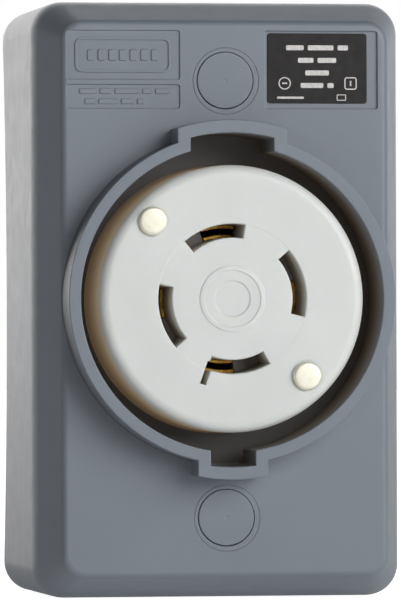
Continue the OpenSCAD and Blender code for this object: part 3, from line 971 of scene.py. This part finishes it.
def build_strap():
    """A folded brass strip that bonds the bridge to the ground terminal."""
    inner, outer, t = LEG_R + LEG_T, 27.2, 0.8
    high, low = bridge_low.z, TERMINAL_Z + 8
    bend = 1.4
    path = [(inner, low), (inner + t, low), (inner + t, high - t - bend)]
    for i in range(1, 6):
        a = math.radians(90 * i / 6)
        path.append((inner + t + bend * (1 - math.cos(a)), high - t - bend + bend * math.sin(a)))
    path += [(outer, high - t), (outer, high)]
    path.append((inner + bend + t, high))
    for i in range(1, 6):
        a = math.radians(90 * (6 - i) / 6)
        path.append((inner + (bend + t) * (1 - math.cos(a)), high - (bend + t) * (1 - math.sin(a))))
    path.append((inner, high - t - bend))
    strap = loft("bonding_strap", [[(x, y, z) for x, z in path] for y in (-3.0, 3.0)])
    strap.data.transform(Matrix.Rotation(math.radians(270), 4, "Z"))
    combine(strap, cut_disc(1.1, high - 2, high - 0.35, (0, -25), 32), "DIFFERENCE")
    round_edges(strap, 0.1, 2, 40)
    return place(strap, ROOT, "brass", BRASS, "ground_strap", angle=30)


# ---- moulded back body ---------------------------------------------------------------------------------

def build_back_body():
    low, high = body_low.z, body_high.z
    flange = high - 3.5
    profile = [(0, low), (9.4, low), (9.6, low + 0.6), (10.6, low + 0.6), (10.8, low), (23.4, low),
               (23.83, low + 0.17), (24, low + 0.6), (24, flange), (27.5, flange), (27.8, flange + 0.3),
               (27.8, high - 0.2), (27.6, high), (0, high)]
    body = lathe("terminal_body", profile, 128)
    for name, (angle, which) in TERMINALS.items():
        pocket = polar_block(angle, LEG_R, 48, 5.5, low - 1, low + 20)
        combine(body, pocket, "DIFFERENCE")
        start = SLOT_SPANS[which][0]
        channel = sector_loops(SLOT_IN_R, SLOT_OUT_R, start, THROUGH_ARC, [(0, WEB_Z - 0.02), (0, high + 1)])
        combine(body, loft("cutter", channel), "DIFFERENCE")
        combine(body, polar_block(angle, 12.6, LEG_R + LEG_T, 4.6, WEB_Z - 0.02, high + 1), "DIFFERENCE")
        combine(body, polar_block(angle, LEG_R, LEG_R + LEG_T, 4.6, low + 19, WEB_Z + 1), "DIFFERENCE")
        combine(body, radial_disc(angle, 2.3, 13.6, LEG_R + 1), "DIFFERENCE")
        for side in (-1, 1):
            # wire funnels each side of the binding screw, opening backwards
            spin = Matrix.Rotation(math.radians(angle), 4, "Z")
            spot = spin @ Vector((20.6, side * 3.1, 0))
            funnel = [(0, low - 1), (2.3, low - 1), (2.3, low), (1.8, low + 0.7), (1.8, low + 2), (0, low + 2)]
            combine(body, lathe("cutter", funnel, 32, (spot.x, spot.y)), "DIFFERENCE")
    combine(body, polar_block(270, LEG_R + LEG_T - 0.01, 48, 3.2, low + 19, high + 1), "DIFFERENCE")
    for angle, r in RIVET_SPOTS:
        combine(body, cut_disc(1.65, low - 1, high + 1, polar(r, angle), 40), "DIFFERENCE")
        seat = [(0, low - 1), (3.0, low - 1), (3.0, low + 0.01), (0, low + 0.01)]
        combine(body, lathe("cutter", seat, 48, polar(r, angle)), "DIFFERENCE")
    for angle in (45, 225):
        combine(body, polar_block(angle, 12.2, 21.5, 0.35, low - 1, low + 0.4), "DIFFERENCE")
    tidy_mesh(body)
    return place(body, ROOT, "black_nylon", BLACK, "back_body", angle=28)


# ---- caps, label and its print -----------------------------------------------------------------------

def build_cap(side, s):
    body = "screw_cap_" + side
    base, top, r = FRONT_Z - 2.0, FRONT_Z, CAP_R - 0.04
    profile = [(0, base), (r - 0.3, base), (r, base + 0.3), (r, top - 0.16)]
    profile += [(r - 0.16 + 0.16 * math.cos(math.radians(a)), top - 0.16 + 0.16 * math.sin(math.radians(a)))
                for a in (30, 60, 90)]
    profile += [(0.55, top), (0.4, top - 0.06), (0, top - 0.07)]
    cap = lathe("snap_cap_" + side, profile, 96, (0.03, s * MOUNT_Y + 0.04))
    for middle in (0, 180):
        low = base - 1.2
        loops = []
        for r_in, r_out, z in ((3.5, 4.15, base + 0.4), (3.5, 4.15, low + 0.35), (3.55, 3.95, low)):
            angles = [math.radians(middle - 35 + 70 * i / 14) for i in range(15)]
            loop = [(r_out * math.cos(a), s * MOUNT_Y + r_out * math.sin(a), z) for a in angles]
            loop += [(r_in * math.cos(a), s * MOUNT_Y + r_in * math.sin(a), z) for a in reversed(angles)]
            loops.append(loop)
        combine(cap, loft("leg", loops), "UNION")
    return place(cap, body, "grey_plastic", GREY, body, angle=30)


LABEL = (8.25, 27.55, 37.35, 50.75)
LABEL_TOP = label_high.z


def build_label():
    x0, x1, y0, y1 = LABEL
    centre = Vector(((x0 + x1) / 2, (y0 + y1) / 2, 0))
    loops = []
    for inset, z in ((0.0, label_low.z + 0.01), (0.0, LABEL_TOP - 0.1), (0.06, LABEL_TOP - 0.03)):
        loop = rounded_loop(x1 - x0 - 2 * inset, y1 - y0 - 2 * inset, 0.55 - inset, z, arc=8, cuts=3)
        loops.append([Vector(p) + centre for p in loop])
    label = loft("rating_plate", loops)
    return place(label, ROOT, "black_label", FILM, "rating_label", angle=30)


def ink_bar(x, y, w, h):
    base = rounded_loop(w, h, min(w, h) * 0.25, LABEL_TOP - 0.04, arc=4, cuts=2)
    return loft("ink", [[(px + x, py + y, z) for px, py, _ in base] for z in (LABEL_TOP - 0.04, LABEL_TOP)])


def ink_frame(x, y, w, h, stroke, round_by):
    outer = rounded_loop(w, h, round_by, 0, arc=8, cuts=2)
    inner = rounded_loop(w - 2 * stroke, h - 2 * stroke, max(0.05, round_by - stroke), 0, arc=8, cuts=2)
    loops = []
    for loop, z in ((outer, LABEL_TOP - 0.04), (outer, LABEL_TOP), (inner, LABEL_TOP), (inner, LABEL_TOP - 0.04)):
        loops.append([(px + x, py + y, z) for px, py, _ in loop])
    return loft("ink", loops, closed=True)


def build_print():
    """Generic printing: plain bars where the real label has its ratings, and two plain symbols."""
    parts = []
    rows = ((17.9, 48.0, (3.4, 5.0, 2.0)), (17.9, 45.6, (3.0, 3.6)), (17.9, 43.2, (4.6,)), (17.9, 40.8, (4.4, 1.2)))
    space = 0.8
    for x, y, words in rows:
        at = x - (sum(words) + space * (len(words) - 1)) / 2
        for word in words:
            parts.append(ink_bar(at + word / 2, y, word, 0.95))
            at += word + space
    parts.append(ink_bar(12.7, 38.45, 5.2, 0.42))
    parts.append(ink_frame(11.6, 41.2, 2.4, 2.4, 0.22, 1.19))
    parts.append(ink_bar(11.6, 41.2, 1.0, 0.3))
    parts.append(ink_frame(24.4, 41.2, 2.4, 2.4, 0.22, 0.5))
    parts.append(ink_bar(24.4, 41.2, 0.3, 1.0))
    parts.append(ink_frame(22.6, 38.5, 1.8, 1.2, 0.16, 0.15))
    ink = merge("label_printing", parts)
    return place(ink, ROOT, "black_label", INK, angle=30)


def raised_bar(x, y, w, h, rise, floor, corner):
    loops = []
    for grow, z in ((0.05, floor), (0.0, floor + rise - 0.05), (-0.05, floor + rise)):
        loop = rounded_loop(w + 2 * grow, h + 2 * grow, corner, z, arc=5, cuts=2)
        loops.append([(px + x, py + y, pz) for px, py, pz in loop])
    return loft("mark", loops)


def raised_frame(x, y, w, h, stroke, rise, floor, corner):
    outer = rounded_loop(w, h, corner, 0, arc=8, cuts=6)
    inner = rounded_loop(w - 2 * stroke, h - 2 * stroke, corner - stroke, 0, arc=8, cuts=6)
    loops = []
    for loop, z in ((outer, floor), (outer, floor + rise), (inner, floor + rise), (inner, floor)):
        loops.append([(px + x, py + y, z) for px, py, _ in loop])
    return loft("mark", loops, closed=True)


def build_panel_marks():
    """Plain raised bars in the two moulded panels, where the real one has lettering."""
    floor = FRONT_Z - 0.33
    badge, title = PANELS
    middle = (badge[0][0] + badge[1][0]) / 2
    y = (badge[0][1] + badge[1][1]) / 2
    parts = [raised_frame(middle, y, 18.4, 6.6, 0.42, 0.24, floor, 1.4)]
    for i in range(7):
        parts.append(raised_bar(middle + 2.05 * (i - 3), y, 1.35, 2.1, 0.26, floor, 0.3))
    for row, (words, line_y) in enumerate((((3.2, 2.2, 4.6, 1.8, 2.6), 39.6), ((2.0, 3.6, 2.4, 1.2), 37.65))):
        at = title[0][0] + 2.6 + 1.0 * row
        for word in words:
            parts.append(raised_bar(at + word / 2, line_y, word, 0.95, 0.22, floor, 0.2))
            at += word + 0.7
    marks = merge("moulded_panel_marks", parts)
    return place(marks, ROOT, "grey_plastic", GREY, angle=30)


# ---- building everything -------------------------------------------------------------------------------

build_housing()
build_face()
build_rivets()
build_back_body()
build_bridge()
build_bridge_screws()
build_strap()
for contact_name in TERMINALS:
    build_contact(contact_name)
    build_clamp(contact_name)
    build_terminal_screw(contact_name)
for side_name, side_sign in (("upper", 1), ("lower", -1)):
    build_cap(side_name, side_sign)
    build_mounting_screw(side_name, side_sign)
    build_washer(side_name, side_sign)
build_label()
build_print()
build_panel_marks()


# ---- studio ----------------------------------------------------------------------------------------

def emitter(name, size, at, power, aim=(0, -0.06, 0), colour=(1, 1, 1), shape="RECTANGLE", size_y=None):
    data = bpy.data.lights.new(name, "AREA")
    data.shape = shape
    data.size = size
    if size_y:
        data.size_y = size_y
    data.energy = power
    data.color = colour
    lamp = bpy.data.objects.new(name, data)
    bpy.context.scene.collection.objects.link(lamp)
    lamp.location = at
    direction = Vector(aim) - Vector(at)
    lamp.rotation_euler = direction.to_track_quat("-Z", "Y").to_euler()
    return lamp


FLOOR_GLOW = 0.2
BACKDROP_GLOW = 2.9


def build_floor():
    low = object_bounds()[0][2]
    bm = bmesh.new()
    size = 6.0
    corners = [bm.verts.new((x * size, y * size, low - 0.0002)) for x, y in ((-1, -1), (1, -1), (1, 1), (-1, 1))]
    bm.faces.new(corners)
    floor = new_object("studio_floor", bm)
    s = Shader("studio_floor_paint", Roughness=0.85)
    s.colour(s.ramp(s.noise(3, 2), [(0.3, (0.84, 0.84, 0.84, 1)), (0.7, (0.88, 0.88, 0.88, 1))]))
    s.bsdf.inputs["Emission Color"].default_value = (1, 1, 1, 1)
    path = s.node("ShaderNodeLightPath")
    s.link(s.spread(path.outputs["Is Camera Ray"], FLOOR_GLOW, 0.9, (0, 1)), s.bsdf.inputs["Emission Strength"])
    floor.data.materials.append(s.material)


def build_world():
    world = bpy.data.worlds.new("studio")
    bpy.context.scene.world = world
    world.use_nodes = True
    tree = world.node_tree
    background = tree.nodes["Background"]
    coords = tree.nodes.new("ShaderNodeTexCoord")
    split = tree.nodes.new("ShaderNodeSeparateXYZ")
    ramp = tree.nodes.new("ShaderNodeValToRGB")
    ramp.color_ramp.elements[0].position = 0.86
    ramp.color_ramp.elements[0].color = (0.017, 0.0175, 0.018, 1)
    ramp.color_ramp.elements[1].position = 0.97
    ramp.color_ramp.elements[1].color = (1.0, 0.985, 0.975, 1)
    scale = tree.nodes.new("ShaderNodeMapRange")
    scale.inputs["From Min"].default_value = -1
    scale.inputs["From Max"].default_value = 1
    tree.links.new(coords.outputs["Generated"], split.inputs[0])
    tree.links.new(split.outputs["Y"], scale.inputs["Value"])
    tree.links.new(scale.outputs["Result"], ramp.inputs["Fac"])
    path = tree.nodes.new("ShaderNodeLightPath")
    mix = tree.nodes.new("ShaderNodeMix")
    mix.data_type = "RGBA"
    mix.inputs[7].default_value = (1 / BACKDROP_GLOW, 1 / BACKDROP_GLOW, 1 / BACKDROP_GLOW, 1)
    tree.links.new(path.outputs["Is Camera Ray"], mix.inputs[0])
    tree.links.new(ramp.outputs["Color"], mix.inputs[6])
    tree.links.new(mix.outputs[2], background.inputs["Color"])
    background.inputs["Strength"].default_value = BACKDROP_GLOW


def build_camera():
    """The camera stands to the left of the front, far away, with a long lens."""
    yaw, pitch, roll = math.radians(9.302), math.radians(-0.392), math.radians(0.173)
    distance, aside, above = 1276.3, -4.80, -0.18
    lens = 401.65
    turn = (
        Matrix.Rotation(roll, 3, "Z") @ Matrix.Rotation(pitch, 3, "X") @ Matrix.Rotation(yaw, 3, "Y")
    )
    eye = turn.transposed() @ Vector((aside, above, distance)) + Vector((0, 0, FRONT_Z))
    data = bpy.data.cameras.new("camera")
    data.sensor_width = 36
    data.lens = lens
    data.clip_start = 0.05
    camera = bpy.data.objects.new("camera", data)
    bpy.context.scene.collection.objects.link(camera)
    stand = Matrix.Rotation(math.radians(90), 4, "X")
    camera.matrix_world = stand @ Matrix.Translation(eye * 0.001) @ turn.transposed().to_4x4()
    bpy.context.scene.camera = camera


build_floor()
build_world()
build_camera()
emitter("key_softbox", 1.5, (0.95, -1.35, 0.5), 21.8, size_y=1.0)
emitter("front_fill", 1.0, (-0.2, -1.9, 0.5), 1.5)
bpy.context.scene.view_settings.view_transform = "Standard"
